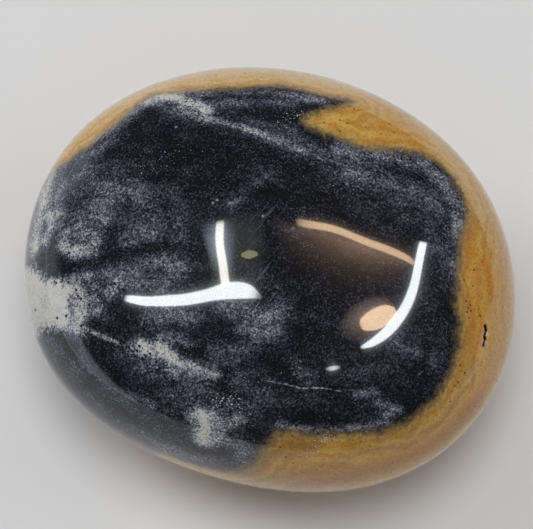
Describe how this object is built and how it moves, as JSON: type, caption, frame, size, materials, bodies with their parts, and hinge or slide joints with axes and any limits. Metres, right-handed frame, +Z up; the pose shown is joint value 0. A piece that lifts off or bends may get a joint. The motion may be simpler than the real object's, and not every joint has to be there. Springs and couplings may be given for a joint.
{
  "type": "palm stone",
  "caption": "Rounded oval pebble of black and golden banded stone, polished all over, with a small resting flat underneath. It fills a palm.",
  "frame": {"origin": "under the middle of the bounding box, on the plane of the resting flat", "axes": "+X along the stone's length, +Y across its width, +Z up from the resting flat to the crown"},
  "size_m": [0.068, 0.0584, 0.035],
  "materials": {
    "polished_stone": "high polish; black and grey with a golden rim and cream patches"
  },
  "bodies": {
    "root": {"palm_stone": "polished_stone"}
  },
  "joints": []
}
